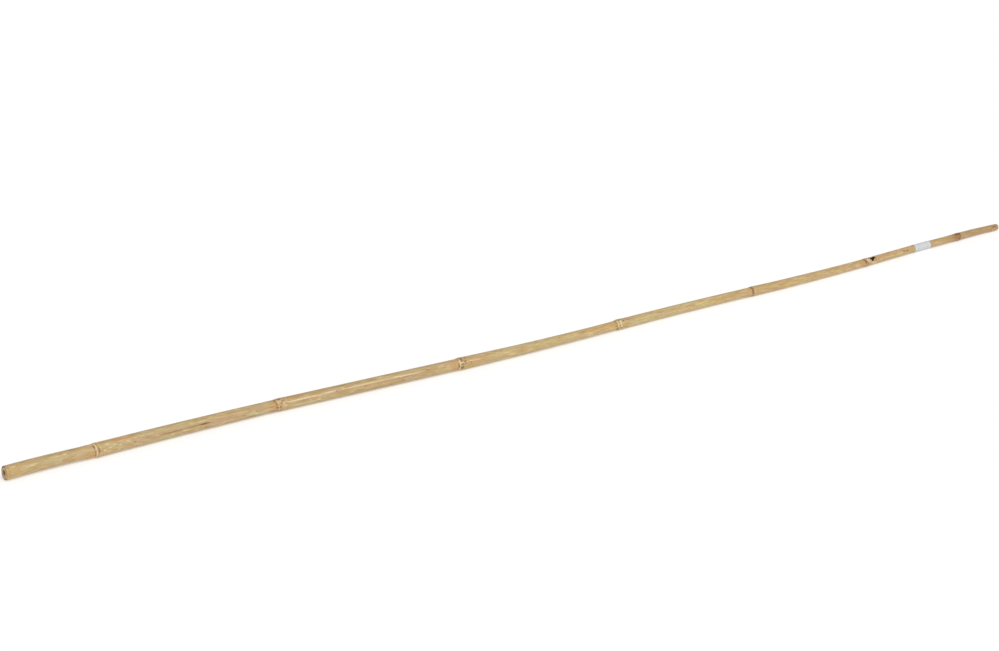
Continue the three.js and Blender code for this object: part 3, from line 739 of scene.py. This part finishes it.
def culm_mesh(materials):
    skin_material, end_material, pith_material = materials
    mesh = run_tree("bamboo_culm", outline_mesh(culm_outline()), culm_sweep(), {
        "Out Of Round": 0.4 * MM,
        "Twist Length": 120 * MM,
        "Rib Height": 0.12 * MM,
        "Seed": 3.0,
        "Material": skin_material,
    })
    straight = read_attribute(mesh, "straight") / MM
    on_skin = read_attribute(mesh, "on_skin")
    along = straight[:, 2]
    turn = np.arctan2(straight[:, 1], straight[:, 0])
    radius = np.hypot(straight[:, 0], straight[:, 1])
    skin = shape_skin(along, turn)

    points = read_attribute(mesh, "position")
    spoke = np.stack([np.zeros(len(turn)), np.cos(turn), np.sin(turn)], 1)
    points += spoke * (skin.rise * on_skin * MM)[:, None]
    points[:, 0] += sawn_face(along, radius, straight) * MM
    points[:, 1] += pith_shift(along, radius) * MM
    points[:, 2] = np.maximum(points[:, 2], FLOOR_CLEARANCE * MM)
    mesh.vertices.foreach_set("co", points.astype(np.float32).ravel())

    for name, amount in (skin.stains_and_light | {"wood": skin.wood}).items():
        write_attribute(mesh, name, np.clip(amount, 0, 1) * on_skin)
    index, share = internode_at(np.clip(along, 0, LENGTH - 0.001))
    for name, amounts in (("ochre", OCHRES), ("dull", DULLNESSES)):
        after = np.append(amounts, amounts[-1])[index + 1]
        write_attribute(mesh, name, amounts[index] + (after - amounts[index]) * share ** 3)

    mesh.materials.append(end_material)
    mesh.materials.append(pith_material)
    paint_ends(mesh, along, radius)
    mesh.update()
    return mesh


def pith_shift(along, radius):
    """How far aside each point moves so that the root end's hollow lies off the culm's middle."""
    share = 1 - smooth_step(PITH_RADIUS, radius_at(0) - BUTT_CORNER, radius)
    return PITH_ASIDE * np.where(along < NODES_AT[0], share, 0)


def sawn_face(along, radius, straight):
    """How far each point of a sawn face moves: it is a little out of square, with saw marks."""
    across, up = straight[:, 0], straight[:, 1]
    saw_marks = SAW_MARK_HEIGHT * np.sin(up * SAW_MARKS + 0.6 * np.sin(across))
    butt_face = (along < FACE_DEPTH) & (radius > PITH_RADIUS)
    move = np.where(butt_face, BUTT_SLOPE[0] * up + BUTT_SLOPE[1] * across + saw_marks, 0)
    return np.where(along > LENGTH - FACE_DEPTH, TIP_SLOPE * up + saw_marks, move)


def paint_ends(mesh, along, radius):
    """Gives the sawn faces and the hollow their own materials."""
    corners = np.zeros(len(mesh.loops), np.int32)
    mesh.loops.foreach_get("vertex_index", corners)
    starts = np.zeros(len(mesh.polygons), np.int32)
    mesh.polygons.foreach_get("loop_start", starts)
    widest = np.maximum.reduceat(radius[corners], starts)
    lowest = np.minimum.reduceat(along[corners], starts)
    highest = np.maximum.reduceat(along[corners], starts)
    slots = np.zeros(len(starts), np.int32)
    slots[(highest < FACE_DEPTH) | (lowest > LENGTH - FACE_DEPTH)] = 1
    in_hollow = widest < PITH_RADIUS + 0.1
    in_pit = (widest < TIP_PITH_RADIUS - 0.1) & (lowest > LENGTH / 2)
    slots[in_pit | in_hollow & (lowest < NODES_AT[0])] = 2
    mesh.polygons.foreach_set("material_index", slots)


# The paper band: one strip wrapped round the culm, with its end pasted over its start at the back.

BAND_MIDDLE = 1336
BAND_LENGTH = 32.5
BAND_SEAM = 318
BAND_LAP = 5.5
BAND_THICKNESS = 0.14
BAND_LIFT = 0.2

# The paste under the lap, the turn in radians over which the paper climbs or curls, how far its
# free edge curls up, and how far its end lies askew.
BAND_PASTE = 0.03
BAND_EASE = 0.35
BAND_CURL = 0.1
BAND_SKEW = 0.35
BAND_ROWS = 150
BAND_COLUMNS = 29


def band_shape(radius):
    """The sheet's points: turn, offset from its middle, place along the culm, and lift off it."""
    whole_turn = 2 * math.pi
    end = whole_turn + BAND_LAP / radius
    round_way = np.linspace(0, end, BAND_ROWS)
    across = np.linspace(-BAND_LENGTH / 2, BAND_LENGTH / 2, BAND_COLUMNS)
    turn, offset = np.meshgrid(round_way, across, indexing="ij")
    over_start = smooth_step(whole_turn - BAND_EASE, whole_turn, turn) * (BAND_THICKNESS + BAND_PASTE)
    free_edge = BAND_CURL * smooth_step(end - BAND_EASE, end, turn)
    ripple = 0.03 * np.sin(2.3 * turn + 0.4 * offset) * np.sin(0.31 * offset + 1)
    lift = BAND_LIFT + over_start + free_edge + np.clip(ripple, -0.02, 1)
    edge_wave = 0.22 * np.sin(1.7 * turn + 0.5) + 0.1 * np.sin(5.1 * turn)
    near_edge = np.abs(offset) / (BAND_LENGTH / 2)
    along = BAND_MIDDLE + offset + edge_wave * np.sign(offset) * near_edge ** 6
    return turn, offset, along + BAND_SKEW * (turn / whole_turn - 0.5), lift


def sheet_quads(rows, columns):
    """The faces of a closed sheet: an outer and an inner grid, joined round all four edges."""
    count = rows * columns
    quads = []
    for row in range(rows - 1):
        for column in range(columns - 1):
            a = row * columns + column
            b, c, d = a + columns, a + columns + 1, a + 1
            quads.append((a, b, c, d))
            quads.append((a + count, d + count, c + count, b + count))
    rim = [row * columns for row in range(rows)]
    rim += [(rows - 1) * columns + column for column in range(1, columns)]
    rim += [row * columns + columns - 1 for row in range(rows - 2, -1, -1)]
    rim += range(columns - 2, 0, -1)
    for first, second in zip(rim, rim[1:] + rim[:1]):
        quads.append((first, first + count, second + count, second))
    return quads


def paper_band(material):
    radius = radius_at(BAND_MIDDLE)
    turn, offset, along, lift = band_shape(radius)
    from_seam = turn + math.radians(BAND_SEAM)
    outer, inner = (culm_place(along, from_seam, lift + rise).reshape(-1, 3)
                    for rise in (BAND_THICKNESS, 0))
    mesh = bpy.data.meshes.new("paper_wrap")
    mesh.from_pydata(np.concatenate([outer, inner]).tolist(), [], sheet_quads(*turn.shape))
    flat = np.stack([offset, turn * radius, np.zeros(turn.shape)], -1).reshape(-1, 3) * MM
    write_attribute(mesh, "sheet", np.concatenate([flat, flat]))
    mesh.materials.append(material)
    mesh.shade_smooth()
    return mesh


# Fibres: thin slivers that stand on the rings and round the sawn and torn edges.


def sliver_tree():
    """Puts a thin sliver at each point, along its lean, at a length drawn from the seed."""
    tree, w = new_tree("slivers", [
        ("Shortest", "NodeSocketFloat", 0.0),
        ("Longest", "NodeSocketFloat", 0.0),
        ("Thickness", "NodeSocketFloat", 0.0),
        ("Seed", "NodeSocketInt", 0),
        ("Material", "NodeSocketMaterial", None),
    ])
    given = w.add("NodeGroupInput").outputs
    cone = w.add("GeometryNodeMeshCone", {
        "Vertices": 4, "Radius Top": 0.12, "Radius Bottom": 0.5, "Depth": 1.0}).outputs["Mesh"]
    lean = w.add("GeometryNodeInputNamedAttribute", {"Name": "lean"}, data_type="FLOAT_VECTOR")
    leaning = {"Vector": lean.outputs[0]}
    turned = w.add("FunctionNodeAlignRotationToVector", leaning, axis="Z").outputs[0]
    picks = w.add("FunctionNodeRandomValue", data_type="FLOAT")
    for name, source in (("Min", "Shortest"), ("Max", "Longest"), ("Seed", "Seed")):
        socket = next(s for s in picks.inputs if s.name == name and s.enabled)
        w.tree.links.new(given[source], socket)
    length = next(s for s in picks.outputs if s.enabled)
    size = w.combine(given["Thickness"], given["Thickness"], length)
    placed = w.add("GeometryNodeInstanceOnPoints", {
        "Points": given["Geometry"], "Instance": cone, "Rotation": turned, "Scale": size}).outputs[0]
    close_tree(w, placed, given["Material"])
    return tree


# How low a sliver may stand, and how many are put on each ring, on the two sawn rims together and
# on the stub.
LOWEST_SLIVER = 1.7
RING_SLIVERS = 74
SAWN_SLIVERS = 60
TORN_SLIVERS = 46


def lean_points(name, places, leans):
    """Points that each carry the way their sliver leans. None is so low that it meets the floor."""
    high = places[:, 2] > LOWEST_SLIVER * MM
    places, leans = places[high], leans[high]
    mesh = bpy.data.meshes.new(name + "_points")
    mesh.from_pydata(places.tolist(), [], [])
    write_attribute(mesh, "lean", leans)
    return mesh


def skin_direction(turn, outward, forward):
    """A lean made of a part straight out of the skin and a part towards the thin end."""
    return np.stack([forward, outward * np.cos(turn), outward * np.sin(turn)], -1)


def ring_slivers():
    """Points round every sheath ring, where the sheath's torn base still clings."""
    places, leans = [], []
    for node, at in enumerate(NODES_AT):
        turn = dice.uniform(0, 2 * math.pi, RING_SLIVERS)
        slant = NODE_COLOURS[node][3]
        drop = slant * np.cos(turn_from(turn, BUDS[node]))
        along = at - drop + dice.uniform(-0.3, 0.5, RING_SLIVERS)
        places.append(culm_place(along, turn, LIPS[node] / 2 * 0.7))
        outward = dice.uniform(0.02, 0.3, RING_SLIVERS)
        leans.append(skin_direction(turn, outward, np.ones(RING_SLIVERS)))
    return np.concatenate(places), np.concatenate(leans)


def sawn_slivers():
    """Points round the two sawn rims, where the saw left fibres standing."""
    turn = dice.uniform(0, 2 * math.pi, SAWN_SLIVERS)
    at_butt = np.arange(SAWN_SLIVERS) < SAWN_SLIVERS * 0.6
    along = np.where(at_butt, 0.12, LENGTH - 0.2)
    out = np.where(at_butt, -0.35, -0.9) - dice.uniform(0, 0.5, SAWN_SLIVERS)
    outward = dice.uniform(-0.3, 0.7, SAWN_SLIVERS)
    forward = np.where(at_butt, -1.0, 1.0)
    return culm_place(along, turn, out), skin_direction(turn, outward, forward)


def torn_slivers():
    """Points round the broken branch's rim, leaning outwards and towards the thin end."""
    bearing = dice.uniform(0, 2 * math.pi, TORN_SLIVERS)
    along = STUB_AT + 0.42 * STUB_LENGTH * np.cos(bearing)
    across = 0.42 * STUB_WIDTH * np.sin(bearing)
    turn = math.radians(BUDS[STUB_NODE]) + across / radius_at(along)
    outward = dice.uniform(0.3, 1.0, TORN_SLIVERS)
    forward = dice.uniform(0.2, 1.0, TORN_SLIVERS)
    return culm_place(along, turn, STUB_RISE * 0.8), skin_direction(turn, outward, forward)


def sliver_piece(name, tree, points, shortest, longest, thickness, material):
    return run_tree(name, lean_points(name, *points), tree, {
        "Shortest": shortest * MM,
        "Longest": longest * MM,
        "Thickness": thickness * MM,
        "Seed": SEED,
        "Material": material,
    })


# Materials


def new_material(name):
    material = bpy.data.materials.new(name)
    material.use_nodes = True
    material.node_tree.nodes.clear()
    return material, Wiring(material.node_tree)


def finish_material(wiring, colour, roughness, bump, **fixed):
    """Ends a material. What is fixed is one number or colour for the whole surface."""
    shader = wiring.add("ShaderNodeBsdfPrincipled", {"Base Color": colour, "Roughness": roughness})
    if bump is not None:
        wiring.tree.links.new(bump, shader.inputs["Normal"])
    for name, value in fixed.items():
        shader.inputs[name.replace("_", " ")].default_value = value
    wiring.add("ShaderNodeOutputMaterial", {"Surface": shader.outputs[0]})


def attribute(wiring, name, output="Fac"):
    return wiring.add("ShaderNodeAttribute", attribute_name=name).outputs[output]


def bumped(wiring, height, distance, under=None):
    inputs = {"Height": height, "Distance": distance * MM, "Strength": 1.0}
    if under is not None:
        inputs["Normal"] = under
    return wiring.add("ShaderNodeBump", inputs).outputs[0]


def along_fibres(wiring, stretch):
    """The straightened culm's own coordinates, with lengths shrunk so that spots become fibres."""
    straight = attribute(wiring, "straight", "Vector")
    return wiring.vector("MULTIPLY", straight, (1.0, 1.0, 1.0 / stretch))


# Clouds in the skin, from the first laid to the last: colour, patches to the millimetre, how many
# times longer than wide, the noise levels where they start and are full, the most they cover, and
# whether they fade where the skin is ochre.
SKIN_CLOUDS = [
    ("bda864", 0.28, 9, 0.42, 0.64, 0.85, True),
    ("bd9878", 0.24, 11, 0.44, 0.66, 0.7, False),
    ("b6b182", 0.26, 8, 0.46, 0.68, 0.65, True),
    ("dccba0", 0.33, 24, 0.55, 0.75, 0.5, False),
    ("b18f66", 0.33, 30, 0.52, 0.72, 0.5, False),
    ("a08450", 0.7, 8, 0.44, 0.66, 0.5, False),
    ("e0cd9a", 0.7, 8, 0.46, 0.68, 0.5, False),
]

# Each mark's colour and the most it covers: stains, painted highlight, and the socket's painted
# shade, which goes past 1 so that the socket is solid near black.
STAIN_AND_LIGHT_PAINTS = {
    "green": ("b6b586", 0.6),
    "pink": ("b78c72", 0.8),
    "orange": ("bf8746", 0.8),
    "cream": ("ecd8ab", 0.75),
    "brown": ("70421a", 0.95),
    "socket_shade": ("1e0e05", 2.5),
}


def cane_skin():
    """Bamboo skin: fibres, clouds of olive, pink and green, and the stains, painted highlights and
    painted shade laid on the mesh.
    """
    material, w = new_material("cane_skin")

    def patches(scale, stretch, seed, low, high, detail=2.0):
        noise = w.noise(along_fibres(w, stretch), scale * PER_MM, detail, 0.55, w=seed)
        return w.ramp(noise, low, high)

    fine = w.noise(along_fibres(w, 60), 3.6 * PER_MM, 2.0, 0.6)
    fibre = w.noise(along_fibres(w, 45), 1.1 * PER_MM, 3.0, 0.6)

    uneven_ochre = w.minus(patches(0.1, 5, 1.0, 0.2, 0.8), 0.5)
    ochre = w.plus(attribute(w, "ochre"), w.times(uneven_ochre, 0.7), clamp=True)
    colour = w.mix(ochre, linear("c4ae7e"), linear("bb975d"))
    greener = w.minus(1.0, w.times(ochre, 0.6))
    for seed, (code, scale, stretch, low, high, share, fades) in enumerate(SKIN_CLOUDS, 2):
        cloud = patches(scale, stretch, float(seed), low, high)
        if fades:
            cloud = w.times(cloud, greener)
        colour = w.cover(colour, cloud, share, code)
    colour = w.cover(colour, w.ramp(fibre, 0.5, 0.75), 0.35, "a08455")
    colour = w.cover(colour, w.ramp(fine, 0.55, 0.7), 0.3, "8f7446")
    colour = w.cover(colour, patches(1.5, 3.5, 9.0, 0.70, 0.78, 1.0), 0.5, "7d6238")
    colour = w.mix(attribute(w, "dull"), colour, linear("876845"))

    grain = w.noise(along_fibres(w, 4), 1.1 * PER_MM, 3.0, 0.6)
    streaks = w.plus(w.times(fibre, 1.8), w.times(grain, 3.0))
    streaks = w.minus(streaks, 1.4)

    def painted_over(colour, *names):
        for name in names:
            amount = w.times(attribute(w, name), streaks, clamp=True)
            code, share = STAIN_AND_LIGHT_PAINTS[name]
            colour = w.cover(colour, amount, share, code)
        return colour

    colour = painted_over(colour, "green", "pink", "orange", "cream")
    torn = w.mix(w.ramp(fine, 0.35, 0.65), linear("f0d8bc"), linear("c8a27c"))
    colour = w.mix(attribute(w, "wood"), colour, torn)
    # Brown marks, then the socket's painted shade, go over the torn wood.
    colour = painted_over(colour, "brown", "socket_shade")

    roughness = w.plus(w.times(fibre, 0.22), 0.34)
    for name in ("wood", "socket_shade"):
        rougher = w.times(attribute(w, name), 0.35)
        roughness = w.plus(roughness, rougher, clamp=True)
    bump = bumped(w, fibre, 0.05)
    bump = bumped(w, fine, 0.02, under=bump)
    finish_material(w, colour, roughness, bump, Coat_Weight=0.08, Coat_Roughness=0.3)
    return material


# Rings on the sawn faces: from and to which radius, on which side, colour, and the most it covers.
# The dark outer ring on the shaded side is painted shade, the pale ring on the bright side is painted
# light, and the dark ring round the root end's hollow is painted shade widening its mouth.
END_RINGS = [
    (5.7, 9.0, "shaded", "57483a", 0.85),
    (4.3, 5.5, "shaded", "e0cba6", 0.7),
    (5.5, 6.2, "bright", "e6cda4", 0.6),
    (6.5, 9.0, "bright", "a9733f", 0.6),
    (0.0, 3.0, "root end", "5a4330", 0.7),
]
RING_BLUR = 0.3


def sawn_end_grain():
    """Sawn bamboo: dark bundle dots, packed close towards the rim, in tan ground wood."""
    material, w = new_material("sawn_end_grain")
    straight = attribute(w, "straight", "Vector")
    flat = w.vector("MULTIPLY", straight, (1.0, 1.0, 0.0))
    from_middle = w.add("ShaderNodeVectorMath", {0: flat}, operation="LENGTH").outputs["Value"]

    def dots(scale, low, high):
        cells = w.add("ShaderNodeTexVoronoi", {"Vector": flat, "Scale": scale * PER_MM})
        return w.ramp(cells.outputs["Distance"], low, high)

    outer = w.ramp(from_middle, 4.6 * MM, 6.6 * MM)
    bundles = w.plus(w.times(dots(1.35, 0.36, 0.2), w.minus(1.0, outer)),
                     w.times(dots(2.6, 0.5, 0.3), outer))
    ground = w.noise(straight, 0.7 * PER_MM, 2.0)
    colour = w.mix(ground, linear("cdae84"), linear("b8956b"))
    colour = w.cover(colour, bundles, 0.75, "7b5634")
    saw = w.add("ShaderNodeTexWave", {"Vector": flat, "Scale": 0.55 * PER_MM, "Distortion": 1.5},
                bands_direction="Y").outputs["Fac"]
    colour = w.cover(colour, saw, 0.18, "8b6a48")
    soiled = w.ramp(w.noise(straight, 0.22 * PER_MM, 3.0), 0.5, 0.75)
    colour = w.cover(colour, soiled, 0.5, "8a6b4c")

    across, _, along = w.add("ShaderNodeSeparateXYZ", {0: straight}).outputs
    aside = w.math("DIVIDE", across, from_middle)
    # The shaded side, away from the camera, gets painted shade, and the bright side, towards it, gets
    # painted light.
    sides = {
        "shaded": w.ramp(aside, -0.7, 0.1),
        "bright": w.ramp(aside, -0.2, -0.8),
        "root end": w.ramp(along, LENGTH / 2 * MM, 0.0),
    }
    for low, high, side, code, share in END_RINGS:
        past_low = w.ramp(from_middle, (low - RING_BLUR) * MM, (low + RING_BLUR) * MM)
        before_high = w.ramp(from_middle, (high + RING_BLUR) * MM, (high - RING_BLUR) * MM)
        ring = w.times(past_low, before_high)
        colour = w.cover(colour, w.times(ring, sides[side]), share, code)
    bump = bumped(w, saw, 0.06)
    bump = bumped(w, bundles, 0.04, under=bump)
    finish_material(w, colour, 0.82, bump)
    return material


def pith_lining():
    material, w = new_material("pith_lining")
    fluff = w.noise(attribute(w, "straight", "Vector"), 2.2 * PER_MM, 3.0)
    colour = w.mix(fluff, linear("9c8a5c"), linear("58422a"))
    finish_material(w, colour, 0.95, bumped(w, fluff, 0.15))
    return material


def band_paper():
    material, w = new_material("band_paper")
    sheet = attribute(w, "sheet", "Vector")
    pulp = w.noise(sheet, 1.6 * PER_MM, 4.0, 0.65)
    blotch = w.noise(sheet, 0.16 * PER_MM, 2.0)
    colour = w.mix(w.ramp(blotch, 0.35, 0.65), linear("cccbd0"), linear("c3c6c3"))
    colour = w.cover(colour, w.ramp(pulp, 0.55, 0.75), 0.35, "b2b1b4")
    finish_material(w, colour, 0.88, bumped(w, pulp, 0.03))
    return material


def dry_fibre():
    material, w = new_material("dry_fibre")
    where = w.add("ShaderNodeTexCoord").outputs["Object"]
    patch = w.ramp(w.noise(where, 0.9 * PER_MM, 1.0), 0.35, 0.65)
    colour = w.mix(patch, linear("8a6844"), linear("d6bd92"))
    finish_material(w, colour, 0.8, None)
    return material


# The studio

FOCAL_PIXELS = 2104
IMAGE_WIDTH = 999
SENSOR_WIDTH = 36
CAMERA_FROM_BUTT = (-799.6, -1808.7, 782.0)
CAMERA_HEADING = 38.057
CAMERA_PITCH = 17.977


def camera():
    data = bpy.data.cameras.new("camera")
    data.sensor_width = SENSOR_WIDTH
    data.lens = SENSOR_WIDTH * FOCAL_PIXELS / IMAGE_WIDTH
    data.clip_start = 0.01
    made = new_object("camera", data)
    x, y, z = CAMERA_FROM_BUTT
    made.location = Vector((x - LENGTH / 2, y - aside_middle(), z)) * MM
    heading = math.radians(CAMERA_HEADING)
    made.rotation_euler = (math.radians(90 - CAMERA_PITCH), 0, -heading)
    bpy.context.scene.camera = made


# The floor's half width is in metres.
FLOOR_HALF = 90
FLOOR_GLOW = 0.35


def floor():
    """A pale light table, which leaves only a faint shadow under the cane."""
    mesh = bpy.data.meshes.new("floor")
    half = FLOOR_HALF
    corners = [(-half, -half, 0), (half, -half, 0), (half, half, 0), (-half, half, 0)]
    mesh.from_pydata(corners, [], [(0, 1, 2, 3)])
    material, w = new_material("pale_floor")
    finish_material(w, linear("d9d9d9"), 0.9, None, Specular_IOR_Level=0.1,
                    Emission_Color=linear("ffffff"), Emission_Strength=FLOOR_GLOW)
    mesh.materials.append(material)
    new_object("floor", mesh)


SKY_STRENGTH = 0.5
SUN_FROM = (-0.3, -2.4, 2.9)
SUN_STRENGTH = 1.85
SUN_SPREAD = 50


def lights():
    """A white sky, and one broad soft light from the camera's side that falls evenly everywhere."""
    world = bpy.data.worlds.new("studio")
    world.use_nodes = True
    sky = world.node_tree.nodes["Background"]
    sky.inputs["Color"].default_value = linear("ffffff")
    sky.inputs["Strength"].default_value = SKY_STRENGTH
    bpy.context.scene.world = world
    data = bpy.data.lights.new("key", "SUN")
    data.energy = SUN_STRENGTH
    data.angle = math.radians(SUN_SPREAD)
    made = new_object("key", data)
    made.location = SUN_FROM
    made.rotation_euler = Vector(SUN_FROM).to_track_quat("Z", "Y").to_euler()
    bpy.context.scene.view_settings.view_transform = "Standard"


def add_piece(mesh, slot, *nodes):
    piece = new_object(mesh.name, mesh)
    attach(piece, "root")
    if nodes:
        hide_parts(*nodes)


camera()
floor()
lights()

fibre = dry_fibre()
add_piece(culm_mesh((cane_skin(), sawn_end_grain(), pith_lining())), "bamboo", "bamboo_cane")
add_piece(paper_band(band_paper()), "paper", "paper_band")

slivers = sliver_tree()
add_piece(sliver_piece("sheath_fibres", slivers, ring_slivers(), 0.4, 1.5, 0.1, fibre), "bamboo")
add_piece(sliver_piece("sawn_fibres", slivers, sawn_slivers(), 0.3, 1.0, 0.08, fibre), "bamboo")
add_piece(sliver_piece("torn_fibres", slivers, torn_slivers(), 0.4, 1.4, 0.17, fibre), "bamboo")
